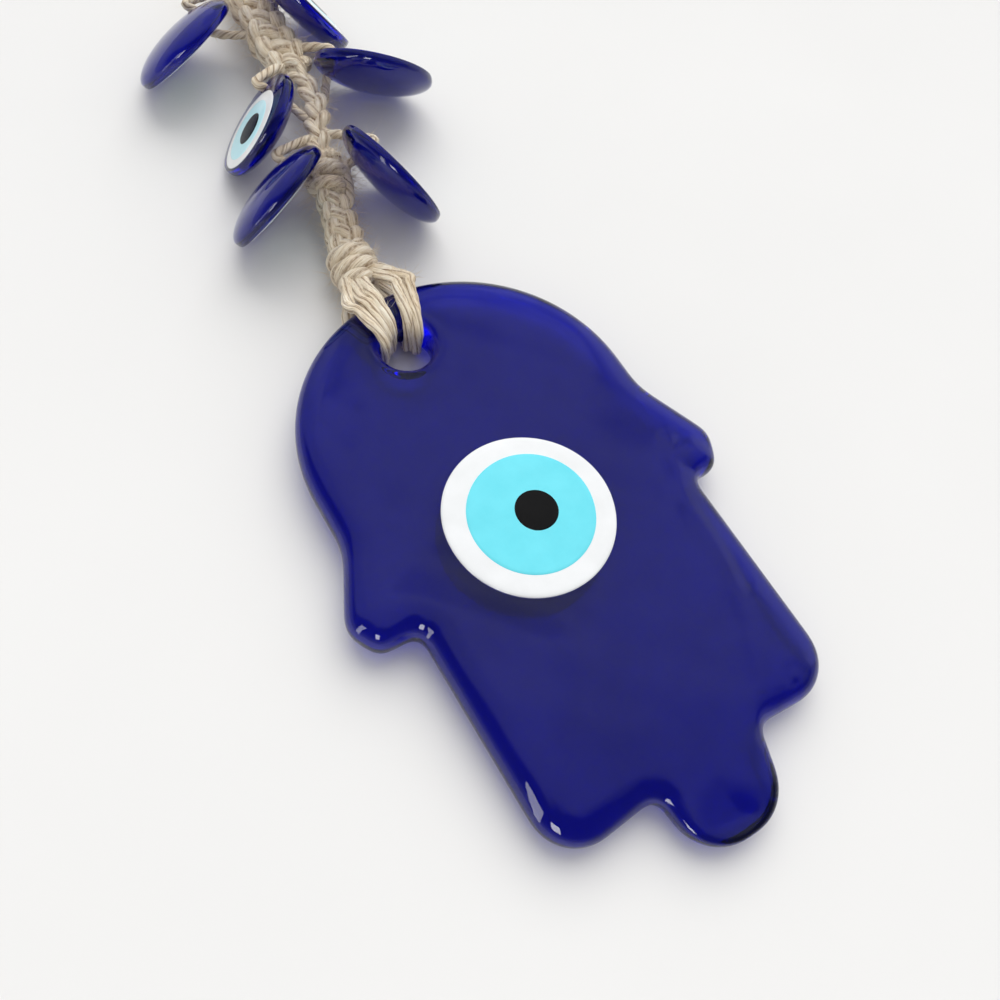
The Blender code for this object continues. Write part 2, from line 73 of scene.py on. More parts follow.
BEADS = {
    "bead_1_left": dict(bore=(-2.0, 97.0), faces=(-55.0, -33.0), turn=165.0, size=1.0, reach=6.2),
    "bead_1_right": dict(bore=(13.3, 95.7), faces=(14.0, 26.0), turn=11.0, size=1.02, reach=8.5),
    "bead_2_left": dict(bore=(1.5, 118.8), faces=(143.0, 36.0), turn=190.0, size=0.93, reach=7.5),
    "bead_2_right": dict(bore=(18.8, 122.9), faces=(52.0, 37.0), turn=8.0, size=1.03, reach=7.5),
    "bead_3_left": dict(bore=(0.1, 146.9), faces=(-53.0, -43.0), turn=172.0, size=1.01, reach=7.5),
    "bead_3_right": dict(bore=(23.2, 151.2), faces=(9.0, 36.0), turn=20.0, size=1.0, reach=10.5),
}
BEAD_RADIUS, BEAD_RIM, BEAD_BACK, BEAD_FRONT = 13.0, 1.8, 3.4, 0.8
BEAD_FACE_SHARE, BEAD_RIM_SHARE = 0.965, 0.75       # where the rounded rim of a bead starts
BORE_RADIUS, BORE_WALL = 1.4, 1.5
WHITE_RADIUS, IRIS_RADIUS, PUPIL_RADIUS, WHITE_EDGE = 9.9, 7.7, 4.0, 0.6
EYE_WHITE_RADIUS, EYE_IRIS_RADIUS, EYE_PUPIL_RADIUS = 16.1, 12.3, 4.2
DISC_WAVE = 0.006           # how far the fused discs are out of round
PUPIL_ASIDE = 1.3           # the one pupil that was set off the middle
RING_STEP = 0.42            # distance between the rings of a strand
LINE_STEP = 0.5             # distance between the points of a route
HAIR_THICK, HAIR_STEPS = 0.045, 6


# ---------------------------------------------------------------- camera
def place_camera():
    right = Vector((0.8425, -0.5247, 0.1219)).normalized()
    back = Vector((-0.3307, -0.3253, 0.8859)).normalized()
    up = back.cross(right)
    data = bpy.data.cameras.new("camera")
    data.lens = 36.0
    data.sensor_width = 36.0
    data.clip_start = 0.01
    camera = bpy.data.objects.new("camera", data)
    turned = Matrix((right, up, back)).transposed().to_4x4()
    camera.matrix_world = Matrix.Translation(Vector((-65.7, -49.26, 171.31)) * MM) @ turned
    scene.collection.objects.link(camera)
    scene.camera = camera


place_camera()


# ---------------------------------------------------------------- mesh helpers
def new_piece(name, verts, faces, mat, body, replaces=(), smooth=True, fields=None):
    """A mesh piece from points in millimetres; it rides on a body and takes a material slot."""
    mesh = bpy.data.meshes.new(name)
    mesh.from_pydata([tuple(v) for v in np.asarray(verts) * MM], [], faces)
    for key, values in (fields or {}).items():
        if np.ndim(values) == 2:
            layer = mesh.attributes.new(key, "FLOAT_VECTOR", "POINT")
            layer.data.foreach_set("vector", np.asarray(values, np.float32).ravel())
        else:
            layer = mesh.attributes.new(key, "FLOAT", "POINT")
            layer.data.foreach_set("value", np.asarray(values, np.float32))
    mesh.validate()
    bm = bmesh.new()
    bm.from_mesh(mesh)
    bmesh.ops.recalc_face_normals(bm, faces=bm.faces)
    bm.to_mesh(mesh)
    bm.free()
    if smooth:
        mesh.shade_smooth()
        mesh.set_sharp_from_angle(angle=math.radians(50.0))
    mesh.materials.append(mat)
    piece = bpy.data.objects.new(name, mesh)
    scene.collection.objects.link(piece)
    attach(piece, body)
    if replaces:
        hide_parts(*replaces)
    return piece


def smooth_route(points, spacing):
    """Points along a smooth curve through the given ones, about `spacing` millimetres apart."""
    pts = [Vector(p) for p in points]
    pts = [2.0 * pts[0] - pts[1]] + pts + [2.0 * pts[-1] - pts[-2]]
    route = []
    for a, b, c, d in zip(pts, pts[1:], pts[2:], pts[3:]):
        steps = max(1, round((c - b).length / spacing))
        for k in range(steps):
            t = k / steps
            route.append(0.5 * (2.0 * b + (c - a) * t + (2.0 * a - 5.0 * b + 4.0 * c - d) * t * t
                                + (3.0 * b - a - 3.0 * c + d) * t ** 3))
    route.append(pts[-2])
    return route


def even_line(points, spacing):
    """The same line with its points an equal distance apart."""
    pts = np.array([tuple(p) for p in points])
    run = np.r_[0.0, np.cumsum(np.linalg.norm(np.diff(pts, axis=0), axis=1))]
    count = max(4, int(run[-1] / spacing))
    wanted = np.linspace(0.0, run[-1], count + 1)
    return np.column_stack([np.interp(wanted, run, pts[:, k]) for k in range(3)])


def carried_frames(line, up=(0.0, 0.0, 1.0)):
    """Tangent, sideways and upward directions carried along a line without twisting."""
    tangent = np.gradient(line, axis=0)
    tangent /= np.linalg.norm(tangent, axis=1)[:, None]
    side = np.zeros_like(line)
    lift = np.zeros_like(line)
    last = np.array(up, float)
    for i, t in enumerate(tangent):
        last = last - t * (last @ t)
        last /= np.linalg.norm(last)
        lift[i] = last
        side[i] = np.cross(t, last)
    return tangent, side, lift


class Weave:
    """Collects strands of twine into one mesh, with the fields that its material reads."""

    def __init__(self):
        self.verts = []
        self.faces = []
        self.fibre = []
        self.painted_crease_shade = []
        self.count = 0

    def strand(self, line, radius, twist=9.0, plies=3, flat=1.0, groove=0.20, around=18,
               up=(0.0, 0.0, 1.0), taper=0.0):
        """A laid twine along a line: its plies turn once in every `twist` millimetres."""
        line = even_line(line, RING_STEP)
        _, side, lift = carried_frames(line, up)
        steps = len(line)
        run = np.arange(steps) * RING_STEP
        radii = np.atleast_1d(radius)
        radius = np.interp(np.linspace(0, 1, steps), np.linspace(0, 1, len(radii)), radii)
        slow = 0.05 * np.sin(run * 0.9 + rng.uniform(0, 6.3))
        quick = 0.03 * np.sin(run * 2.3 + rng.uniform(0, 6.3))
        radius = radius * (1.0 + slow + quick)
        if taper > 0.0:
            ends = np.clip(np.minimum(run, run[-1] - run) / taper, 0.0, 1.0)
            radius = radius * (0.35 + 0.65 * np.sin(ends * math.pi / 2))
        phase = rng.uniform(0.0, 6.3)
        shade = rng.uniform(0.0, 1.0)
        seed = rng.uniform(0.0, 50.0)
        base = self.count
        angles = np.arange(around) * 2.0 * math.pi / around
        for i in range(steps):
            spin = 2.0 * math.pi * run[i] / twist + phase
            lobe = 0.5 + 0.5 * np.cos(plies * (angles - spin))
            dent = 1.0 - lobe ** 0.5
            uneven = 0.65 + 0.35 * np.sin(0.37 * run[i] + 2.0 * angles + phase)
            size = radius[i] * (1.0 - groove * uneven * dent ** 1.6)
            x = size * np.cos(angles)
            z = size * np.sin(angles) * flat
            self.verts.extend(line[i] + np.outer(x, side[i]) + np.outer(z, lift[i]))
            turned = angles - spin
            self.fibre.extend(np.column_stack((radius[i] * np.cos(turned) + seed,
                                               radius[i] * np.sin(turned),
                                               np.full(around, run[i] * 0.06 + shade * 9.0))))
            # Painted shade: this field tells the twine material how far to darken the grooves between the
            # plies.
            self.painted_crease_shade.extend(dent ** 2.0)
        for i in range(steps - 1):
            low, high = base + i * around, base + (i + 1) * around
            for k in range(around):
                j = (k + 1) % around
                self.faces.append((low + k, low + j, high + j, high + k))
        self.count += steps * around
        for row, sign in ((0, -1.0), (steps - 1, 1.0)):
            self.verts.append(line[row])
            self.fibre.append((seed, 0.0, shade * 9.0))
            self.painted_crease_shade.append(0.2)
            start = base + row * around
            for k in range(around):
                j = (k + 1) % around
                self.faces.append((start + k, start + j, self.count) if sign > 0 else
                                  (start + j, start + k, self.count))
            self.count += 1

    def hair(self, start, along, out, length):
        """One loose fibre that leaves the twine and curls away."""
        along = np.asarray(along, float)
        out = np.asarray(out, float)
        across = np.cross(along, out)
        curl = rng.uniform(-1.0, 1.0)
        bow = rng.uniform(0.45, 1.25)
        base = self.count
        for i in range(HAIR_STEPS):
            t = i / (HAIR_STEPS - 1)
            centre = start + length * (along * t * (1.0 - 0.35 * bow * t) + out * bow * (t ** 1.5) * 0.7
                                       + across * curl * 0.45 * t * t)
            size = HAIR_THICK * (1.0 - 0.6 * t)
            for k in range(3):
                a = 2.1 * k
                self.verts.append(centre + size * (math.cos(a) * out + math.sin(a) * across))
                self.fibre.append((base * 0.37 + k, 0.0, t))
                self.painted_crease_shade.append(0.0)
        for i in range(HAIR_STEPS - 1):
            low, high = base + 3 * i, base + 3 * (i + 1)
            for k in range(3):
                j = (k + 1) % 3
                self.faces.append((low + k, low + j, high + j, high + k))
        self.faces.append((base + 2, base + 1, base))
        last = base + 3 * (HAIR_STEPS - 1)
        self.faces.append((last, last + 1, last + 2))
        self.count += 3 * HAIR_STEPS

    def piece(self, name, mat, body, replaces=()):
        return new_piece(name, np.array(self.verts), self.faces, mat, body, replaces,
                         fields={"fibre": np.array(self.fibre), "painted_crease_shade": np.array(self.painted_crease_shade)})


# ---------------------------------------------------------------- materials
def node(tree, kind, **values):
    made = tree.nodes.new(kind)
    for key, value in values.items():
        setattr(made, key, value)
    return made


def link(tree, start, end):
    tree.links.new(start, end)


def ramp(tree, factor, stops):
    made = node(tree, "ShaderNodeValToRGB")
    elements = made.color_ramp.elements
    while len(elements) < len(stops):
        elements.new(0.5)
    for element, (place, colour) in zip(elements, stops):
        element.position = place
        element.color = (*colour, 1.0)
    link(tree, factor, made.inputs["Fac"])
    return made.outputs["Color"]


def noise(tree, vector, scale, detail=3.0, rough=0.55):
    made = node(tree, "ShaderNodeTexNoise")
    made.inputs["Scale"].default_value = scale
    made.inputs["Detail"].default_value = detail
    made.inputs["Roughness"].default_value = rough
    link(tree, vector, made.inputs["Vector"])
    return made.outputs["Fac"]


def maths(tree, kind, a, b):
    made = node(tree, "ShaderNodeMath", operation=kind)
    for socket, value in zip(made.inputs, (a, b)):
        if isinstance(value, (int, float)):
            socket.default_value = value
        else:
            link(tree, value, socket)
    return made.outputs[0]


def start_material(name):
    mat = bpy.data.materials.new(name)
    mat.use_nodes = True
    return mat, mat.node_tree, mat.node_tree.nodes["Principled BSDF"]


def surface_ripple_group():
    """Slow unevenness and fine specks of hand-poured glass: a height for Bump."""
    group = bpy.data.node_groups.new("poured_glass_ripple", "ShaderNodeTree")
    group.interface.new_socket("Slow Scale", in_out="INPUT", socket_type="NodeSocketFloat")
    group.interface.new_socket("Fine Scale", in_out="INPUT", socket_type="NodeSocketFloat")
    group.interface.new_socket("Fine Share", in_out="INPUT", socket_type="NodeSocketFloat")
    group.interface.new_socket("Height", in_out="OUTPUT", socket_type="NodeSocketFloat")
    start = node(group, "NodeGroupInput")
    end = node(group, "NodeGroupOutput")
    place = node(group, "ShaderNodeTexCoord").outputs["Object"]
    slow = node(group, "ShaderNodeTexNoise")
    slow.inputs["Detail"].default_value = 1.0
    fine = node(group, "ShaderNodeTexNoise")
    fine.inputs["Detail"].default_value = 2.0
    for texture, key in ((slow, "Slow Scale"), (fine, "Fine Scale")):
        link(group, place, texture.inputs["Vector"])
        link(group, start.outputs[key], texture.inputs["Scale"])
    share = maths(group, "MULTIPLY", fine.outputs["Fac"], start.outputs["Fine Share"])
    link(group, maths(group, "ADD", slow.outputs["Fac"], share), end.inputs["Height"])
    return group


RIPPLE = surface_ripple_group()


def add_ripple(tree, shader, slow, fine, share, strength, distance):
    ripple = node(tree, "ShaderNodeGroup", node_tree=RIPPLE)
    ripple.inputs["Slow Scale"].default_value = slow
    ripple.inputs["Fine Scale"].default_value = fine
    ripple.inputs["Fine Share"].default_value = share
    bump = node(tree, "ShaderNodeBump")
    bump.inputs["Strength"].default_value = strength
    bump.inputs["Distance"].default_value = distance
    link(tree, ripple.outputs["Height"], bump.inputs["Height"])
    link(tree, bump.outputs["Normal"], shader.inputs["Normal"])


GLASS_IOR, GLASS_TRANSMISSION = 1.5, 0.975
COBALT = (0.18, 0.26, 0.955, 1.0)       # what a thickness of the glass lets through


def cobalt_material(name, density, thin, thick):
    """Clear glass stained through with cobalt: colour comes from its thickness."""
    mat, tree, shader = start_material(name)
    shader.inputs["Transmission Weight"].default_value = GLASS_TRANSMISSION
    shader.inputs["IOR"].default_value = GLASS_IOR
    place = node(tree, "ShaderNodeTexCoord").outputs["Object"]
    tint = ramp(tree, noise(tree, place, 60.0, 3.0), ((0.35, thick), (0.65, thin)))
    link(tree, tint, shader.inputs["Base Color"])
    haze = ramp(tree, noise(tree, place, 900.0, 4.0), ((0.45, (0.012,) * 3), (0.75, (0.06,) * 3)))
    link(tree, haze, shader.inputs["Roughness"])
    add_ripple(tree, shader, 45.0, 700.0, 0.05, 0.25, 0.0006)
    absorb = node(tree, "ShaderNodeVolumeAbsorption")
    absorb.inputs["Color"].default_value = COBALT
    absorb.inputs["Density"].default_value = density
    link(tree, absorb.outputs["Volume"], tree.nodes["Material Output"].inputs["Volume"])
    return mat


def fused_glass(name, low, high, roughness, shine=0.5):
    """Opaque coloured glass with faint clouding and tiny pits."""
    mat, tree, shader = start_material(name)
    place = node(tree, "ShaderNodeTexCoord").outputs["Object"]
    cloud = ramp(tree, noise(tree, place, 160.0, 4.0), ((0.3, low), (0.7, high)))
    link(tree, cloud, shader.inputs["Base Color"])
    spread = ramp(tree, noise(tree, place, 1100.0, 3.0),
                  ((0.4, (roughness,) * 3), (0.8, (roughness + 0.12,) * 3)))
    link(tree, spread, shader.inputs["Roughness"])
    shader.inputs["Specular IOR Level"].default_value = shine
    shader.inputs["Coat Weight"].default_value = 0.12
    shader.inputs["Coat Roughness"].default_value = 0.05
    add_ripple(tree, shader, 90.0, 1200.0, 0.08, 0.2, 0.0003)
    return mat


def twine_material():
    mat, tree, shader = start_material("hemp_twine_fibres")
    fibre = node(tree, "ShaderNodeAttribute", attribute_name="fibre").outputs["Vector"]
    painted_crease_shade = node(tree, "ShaderNodeAttribute", attribute_name="painted_crease_shade").outputs["Fac"]
    place = node(tree, "ShaderNodeTexCoord").outputs["Object"]
    streak = noise(tree, fibre, 4.2, 5.0, 0.65)
    patch = noise(tree, place, 130.0, 3.0)
    cloth = ramp(tree, streak, ((0.30, (0.24, 0.15, 0.07)), (0.39, (0.62, 0.49, 0.32)),
                                (0.47, (0.86, 0.75, 0.57)), (0.62, (0.97, 0.91, 0.77))))
    old = ramp(tree, patch, ((0.35, (0.86, 0.78, 0.68)), (0.65, (1.0, 1.0, 1.0))))
    mix = node(tree, "ShaderNodeMix", data_type="RGBA", blend_type="MULTIPLY")
    mix.inputs["Factor"].default_value = 0.8
    link(tree, cloth, mix.inputs["A"])
    link(tree, old, mix.inputs["B"])
    # Painted shade: the grooves between plies, where shadow falls, are darkened towards brown.
    crease_shade_tint = ramp(tree, painted_crease_shade, ((0.18, (1.0, 1.0, 1.0)), (0.85, (0.32, 0.21, 0.12))))
    deep = node(tree, "ShaderNodeMix", data_type="RGBA", blend_type="MULTIPLY")
    deep.inputs["Factor"].default_value = 0.85
    link(tree, mix.outputs["Result"], deep.inputs["A"])
    link(tree, crease_shade_tint, deep.inputs["B"])
    link(tree, deep.outputs["Result"], shader.inputs["Base Color"])
    link(tree, ramp(tree, streak, ((0.3, (0.95,) * 3), (0.7, (0.72,) * 3))), shader.inputs["Roughness"])
    bump = node(tree, "ShaderNodeBump")
    bump.inputs["Strength"].default_value = 0.7
    bump.inputs["Distance"].default_value = 0.0003
    link(tree, noise(tree, fibre, 7.5, 4.0, 0.7), bump.inputs["Height"])
    link(tree, bump.outputs["Normal"], shader.inputs["Normal"])
    shader.inputs["Sheen Weight"].default_value = 0.25
    return mat


def floor_material():
    mat, tree, shader = start_material("pale_table")
    place = node(tree, "ShaderNodeTexCoord").outputs["Object"]
    paint = ramp(tree, noise(tree, place, 9.0, 3.0),
                 ((0.3, (0.80, 0.79, 0.765)), (0.7, (0.82, 0.81, 0.785))))
    link(tree, paint, shader.inputs["Base Color"])
    shader.inputs["Roughness"].default_value = 0.6
    shader.inputs["Specular IOR Level"].default_value = 0.2
    return mat


HAND_GLASS = cobalt_material("cobalt_glass_hand", 340.0, (0.08, 0.10, 0.51), (0.055, 0.07, 0.45))
BEAD_GLASS = cobalt_material("cobalt_glass_bead", 420.0, (0.085, 0.12, 0.43), (0.05, 0.07, 0.31))
WHITE = fused_glass("white_fused_glass", (0.80, 0.81, 0.80), (0.86, 0.87, 0.865), 0.12)
IRIS = fused_glass("turquoise_fused_glass", (0.135, 0.70, 0.80), (0.165, 0.76, 0.86), 0.12)
PALE_IRIS = fused_glass("pale_turquoise_fused_glass", (0.50, 0.84, 0.90), (0.60, 0.88, 0.93), 0.12)
PUPIL = fused_glass("black_fused_glass", (0.0012, 0.001, 0.001), (0.004, 0.0035, 0.003), 0.16, 0.2)
TWINE = twine_material()


# ---------------------------------------------------------------- strap, the cord of the hanging
# Stretches of the braid: reach along the strap, number of strands, half width and half height of
# their paths, radius of a strand, length of one wave and where it starts
PLAITS = (
    dict(low=74.0, high=101.0, count=4, width=2.3, height=0.9, radius=1.75, wave=17.0, start=0.3),
    dict(low=98.5, high=126.0, count=3, width=1.45, height=0.8, radius=1.35, wave=16.0, start=1.0),
    dict(low=123.5, high=170.5, count=4, width=3.3, height=1.3, radius=2.15, wave=21.0, start=0.8),
)
LUMP_SPAN = (90.5, 99.5)    # stretch below the first beads that is wrapped once more
LUMP_TURNS = 2.2
# Loose hairs: reach along the strap, radius of the twine there, how many, and how long
FLUFF = ((76.0, 92.0, 3.6, 260, 3.2), (90.0, 101.0, 4.2, 520, 4.2),
         (100.0, 125.0, 2.6, 260, 3.0), (125.0, 166.0, 4.6, 520, 4.5))


def strap_strands(line, low, high, count, width, height, radius, wave, start):
    """Strands of a flat plait along part of the strap's line."""
    line = even_line(line, LINE_STEP)
    _, side, lift = carried_frames(line)
    run = np.arange(len(line)) * LINE_STEP
    ys = line[:, 1]
    keep = np.where((ys >= low) & (ys <= high))[0]
    strands = []
    for k in range(count):
        angle = 2.0 * math.pi * (run[keep] / wave + k / count) + start
        across = width * np.sin(angle)
        rise = height * (-np.cos(3.0 * angle) if count == 4 else np.sin(2.0 * angle))
        across += 0.12 * width * np.sin(run[keep] * 0.63 + k)
        strands.append(line[keep] + across[:, None] * side[keep] + rise[:, None] * lift[keep])
    return [(s, radius) for s in strands]


def add_hairs(weave, line, reach, count, length):
    """Hairs that leave the upper side and the flanks of a twine of radius `reach`."""
    line = even_line(line, LINE_STEP)
    tangent, side, lift = carried_frames(line)
    for _ in range(count):
        i = rng.randrange(len(line))
        a = rng.uniform(-0.6, math.pi + 0.6)
        out = math.cos(a) * side[i] + math.sin(a) * lift[i]
        skin = reach * math.hypot(1.15 * math.cos(a), 0.78 * math.sin(a))
        along = tangent[i] * rng.choice((-1.0, 1.0)) + 0.35 * out
        along /= np.linalg.norm(along)
        root = line[i] + out * skin * rng.uniform(0.85, 1.02)
        weave.hair(root, along, out, length * rng.uniform(0.4, 1.3))


strap_line = [Vector(p) for p in even_line(smooth_route(STRAP_ROUTE, LINE_STEP), LINE_STEP)]


def build_strap():
    weave = Weave()
    tight, thin, wide = PLAITS
    for points, radius in strap_strands(strap_line, **tight):
        weave.strand(points, radius, twist=15.0, plies=4, groove=0.26, flat=0.85, taper=3.0)
    lump = [p for p in even_line(strap_line, LINE_STEP) if LUMP_SPAN[0] < p[1] < LUMP_SPAN[1]]
    _, side, lift = carried_frames(np.array(lump))
    turns = np.linspace(0.0, LUMP_TURNS * math.pi * 2.0, len(lump))
    swell = 2.6 + 0.9 * np.sin(np.linspace(0.0, math.pi, len(lump)))
    across = (swell * np.cos(turns))[:, None] * side
    coil = lump + across + (swell * 0.8 * np.sin(turns))[:, None] * lift
    weave.strand(coil, 1.7, twist=11.0, plies=5, groove=0.3, taper=3.0)
    for points, radius in strap_strands(strap_line, **thin):
        weave.strand(points, radius, twist=12.0, plies=3, groove=0.28)
    for points, radius in strap_strands(strap_line, **wide):
        weave.strand(points, radius, twist=17.0, plies=4, groove=0.26, flat=0.85, taper=3.5)
    return weave.piece("strap_braid", TWINE, "strap", ("braid_lower", "braid_middle", "braid_upper"))


def build_loop():
    weave = Weave()
    line = smooth_route(((14.9, 174.0, 4.6),) + LOOP_ROUTE + ((15.9, 174.0, 4.6),), LINE_STEP)
    weave.strand(line, 1.3, twist=8.0, plies=3, groove=0.3)
    return weave.piece("loop_cord", TWINE, "strap", ("hanging_loop",)), line


def build_fluff(loop_points):
    """Loose hairs that stand away from the braid and the loop."""
    weave = Weave()
    for low, high, radius, count, length in FLUFF:
        add_hairs(weave, [p for p in strap_line if low < p.y < high], radius, count, length)
    add_hairs(weave, loop_points, 1.2, 120, 3.0)
    return weave.piece("strap_fluff", TWINE, "strap")


def wrapped_knot(name, centre, along, body, node_name, turns, radius, strand, pitch):
    """Coils of twine wound round the strap, pulled tight into a knot."""
    weave = Weave()
    along = Vector(along).normalized()
    side = along.cross(Vector((0.0, 0.0, 1.0))).normalized()
    lift = side.cross(along)
    points = []
    steps = int(turns * 40)
    for i in range(steps + 1):
        t = i / steps
        a = 2.0 * math.pi * turns * t + 0.6
        swell = radius * (0.78 + 0.22 * math.sin(math.pi * t))
        points.append(centre + along * (pitch * turns * (t - 0.5) + 0.25 * math.sin(a * 0.5))
                      + side * (swell * math.cos(a)) + lift * (swell * 0.86 * math.sin(a)))
    weave.strand(points, strand, twist=14.0, plies=4, groove=0.22, taper=2.5, up=tuple(along))
    for k in range(3):
        a = 2.1 * k + 0.5
        core = [centre + along * s + side * (1.1 * math.cos(a)) + lift * (1.1 * math.sin(a))
                for s in np.linspace(-radius - 0.6, radius + 0.6, 8)]
        weave.strand(core, 1.3, twist=11.0, groove=0.25, taper=1.0)
    add_hairs(weave, [centre + along * s for s in np.linspace(-3.0, 3.0, 12)], radius + 1.2, 150, 3.2)
    return weave.piece(name, TWINE, body, (node_name,))


# ---------------------------------------------------------------- sling through the hole
FLAT_EDGE = HAND_BOTTOM + BOTTOM_INSET
TILT = math.asin((2.0 * TWINE_RADIUS + REST + FIT) / (HOLE_Y + HOLE_RADIUS - FLAT_EDGE))
HAND_PLACE = (Matrix.Translation(Vector((0.0, FLAT_EDGE, 0.02))) @ Matrix.Rotation(TILT, 4, "X")
              @ Matrix.Translation(Vector((0.0, -FLAT_EDGE, 0.0))))


SLING_RADIUS = 1.05                             # half the thickness of a visible strand
SLING_SIDES = (-2.0, -1.15, -0.45, 1.2, 2.0)    # the strands from left to right
SLING_HOLE_FAN, SLING_KNOT_FAN, SLING_SPREAD = 33.0, 27.0, 3.2
SLING_RISE, SLING_DROP = 23.0, -32.0            # how steeply they meet the knot, above and below
SLING_TAPER = (1.5, 1.35, 1.2, 1.15, 1.2, 1.3)  # strand radius from the knot, round and back


def on_hand(x, y, z):
    """A point given in the flat hand's own frame, where the hand lies."""
    return HAND_PLACE @ Vector((x, y, z))


def build_sling():
    """Strands out of the knot, over the edge, down through the hole and back under the hand."""
    ring = HOLE_RADIUS - SLING_RADIUS - 0.1
    clear = SLING_RADIUS + 0.05
    lip = HOLE_FLARE + clear
    for number, side in enumerate(SLING_SIDES):
        angle = math.radians(90.0 - side * SLING_HOLE_FAN)
        hole_x = HOLE_X + ring * math.cos(angle)
        hole_y = HOLE_Y + ring * math.sin(angle)
        edge_x = HOLE_X + 1.0 + side * SLING_SPREAD
        edge_y = HAND_TOP - DOME_RADIUS + math.sqrt(DOME_RADIUS ** 2 - edge_x ** 2)
        run = math.hypot(edge_x - hole_x, edge_y - hole_y)
        along_x, along_y = (edge_x - hole_x) / run, (edge_y - hole_y) / run
        fan = math.radians(90.0 - side * SLING_KNOT_FAN)
        into, under = (KNOT_RADIUS * 0.62 * Vector((math.cos(fan) * math.cos(rise),
                                                    -math.sin(fan) * math.cos(rise), math.sin(rise)))
                       for rise in (math.radians(SLING_RISE), math.radians(SLING_DROP)))

        def out(distance, z):
            return on_hand(hole_x + along_x * distance, hole_y + along_y * distance, z)

        middle = (lip + run - BOTTOM_INSET) / 2.0
        route = [KNOT + into, out(run + 1.2, HAND_THICK - 0.4)]
        route += [out(d, HAND_THICK + clear * 0.92) for d in (run - BOTTOM_INSET * 0.5, middle)]
        for degrees in (80.0, 50.0, 20.0):
            turn = math.radians(degrees)
            route.append(out(lip * (1.0 - math.cos(turn)), HAND_THICK - HOLE_FLARE + lip * math.sin(turn)))
        for degrees in (20.0, 50.0):
            turn = math.radians(degrees)
            route.append(out(lip * (1.0 - math.cos(turn)), HOLE_FLARE - lip * math.sin(turn)))
        for distance in (lip, middle, run - BOTTOM_INSET * 0.5, run + 1.4):
            point = out(distance, 0.0)
            route.append(Vector((point.x, point.y, 1.0)))
        route.append(KNOT + under)
        weave = Weave()
        line = smooth_route(route, LINE_STEP)
        weave.strand(line, SLING_TAPER, twist=45.0, plies=5, flat=0.72, groove=0.24, around=40)
        add_hairs(weave, line[:30], 1.1, 40, 3.0)
        weave.piece("sling_strand_%d" % (number + 1), TWINE, "hand", ("sling_twine_%d" % (number + 1),))


# ---------------------------------------------------------------- beads
def bead_frame(spec):
    """Directions of a bead: out from its bore to its middle, sideways, and out of its face."""
    azimuth, elevation = (math.radians(v) for v in spec["faces"])
    normal = Vector((math.cos(elevation) * math.cos(azimuth),
                     math.cos(elevation) * math.sin(azimuth), math.sin(elevation)))
    level = Vector((0.0, 0.0, 1.0)).cross(normal).normalized()
    up = normal.cross(level)
    angle = math.radians(spec["turn"])
    if level.x < 0.0:
        level, up = -level, -up
    if up.z < 0.0:
        up = -up
    out = level * math.cos(angle) + up * math.sin(angle)
    side = normal.cross(out)
    return out, side, normal


def bead_place(name, spec):
    """The bead's own frame, its height read from the CAD glass."""
    out, side, normal = bead_frame(spec)
    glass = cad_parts[name + "_glass"].data
    face = max((Vector(v.co) / MM).dot(normal) for v in glass.vertices)
    x, y = spec["bore"]
    z = (face - normal.x * x - normal.y * y) / normal.z
    return Matrix.Translation(Vector((x, y, z))) @ Matrix((out, side, normal)).transposed().to_4x4()


def lathe(rings, segments):
    """A turned solid through rings given as (centre x, radius, height)."""
    verts, faces = [], []
    for x, radius, z in rings:
        for k in range(segments):
            a = 2.0 * math.pi * k / segments
            verts.append((x + radius * math.cos(a), radius * math.sin(a), z))
    for i in range(len(rings) - 1):
        for k in range(segments):
            j = (k + 1) % segments
            low, high = i * segments, (i + 1) * segments
            faces.append((low + k, low + j, high + j, high + k))
    faces.append(tuple(range(segments - 1, -1, -1)))
    faces.append(tuple(range((len(rings) - 1) * segments, len(rings) * segments)))
    return verts, faces


def front_height(distance, radius):
    return BEAD_FRONT * (1.0 - min(1.0, distance / radius) ** 2.2)


def bead_glass_mesh(size):
    radius = BEAD_RADIUS * size
    centre = radius - BORE_WALL - BORE_RADIUS
    face, rim = radius * BEAD_FACE_SHARE, BEAD_RIM_SHARE * BEAD_RIM
    belly = BEAD_BACK + BEAD_RIM - rim
    rings = [(centre, radius * 0.02, BEAD_FRONT)]
    for k in range(1, 22):
        share = k / 21
        rings.append((centre, face * share, front_height(face * share, radius)))
    for k in range(1, 9):
        a = math.radians(90.0 * k / 8)
        rings.append((centre, face + (radius - face) * math.sin(a), rim * (math.cos(a) - 1.0) + 0.05))
    for k in range(1, 20):
        a = math.radians(90.0 * k / 19 * 0.985)
        rings.append((centre, radius * math.cos(a) ** 0.97, -rim - belly * math.sin(a) ** 1.08))
    return lathe(rings, 96), centre


def drill(piece, place):
    """Cuts the bore through a bead's glass and keeps the result as its mesh."""
    verts, faces = lathe([(0.0, BORE_RADIUS, -9.0), (0.0, BORE_RADIUS, 5.0)], 32)
    mesh = bpy.data.meshes.new("bore")
    mesh.from_pydata([tuple(place @ Vector(v) * MM) for v in verts], [], faces)
    bm = bmesh.new()
    bm.from_mesh(mesh)
    bmesh.ops.recalc_face_normals(bm, faces=bm.faces)
    bm.to_mesh(mesh)
    bm.free()
    cutter = bpy.data.objects.new("bore", mesh)
    scene.collection.objects.link(cutter)
    cut = piece.modifiers.new("bore", "BOOLEAN")
    cut.solver = "EXACT"
    cut.object = cutter
    bpy.context.view_layer.update()
    result = bpy.data.meshes.new_from_object(piece.evaluated_get(bpy.context.evaluated_depsgraph_get()))
    piece.modifiers.clear()
    piece.data = result
    result.shade_smooth()
    result.set_sharp_from_angle(angle=math.radians(40.0))
    bpy.data.objects.remove(cutter)


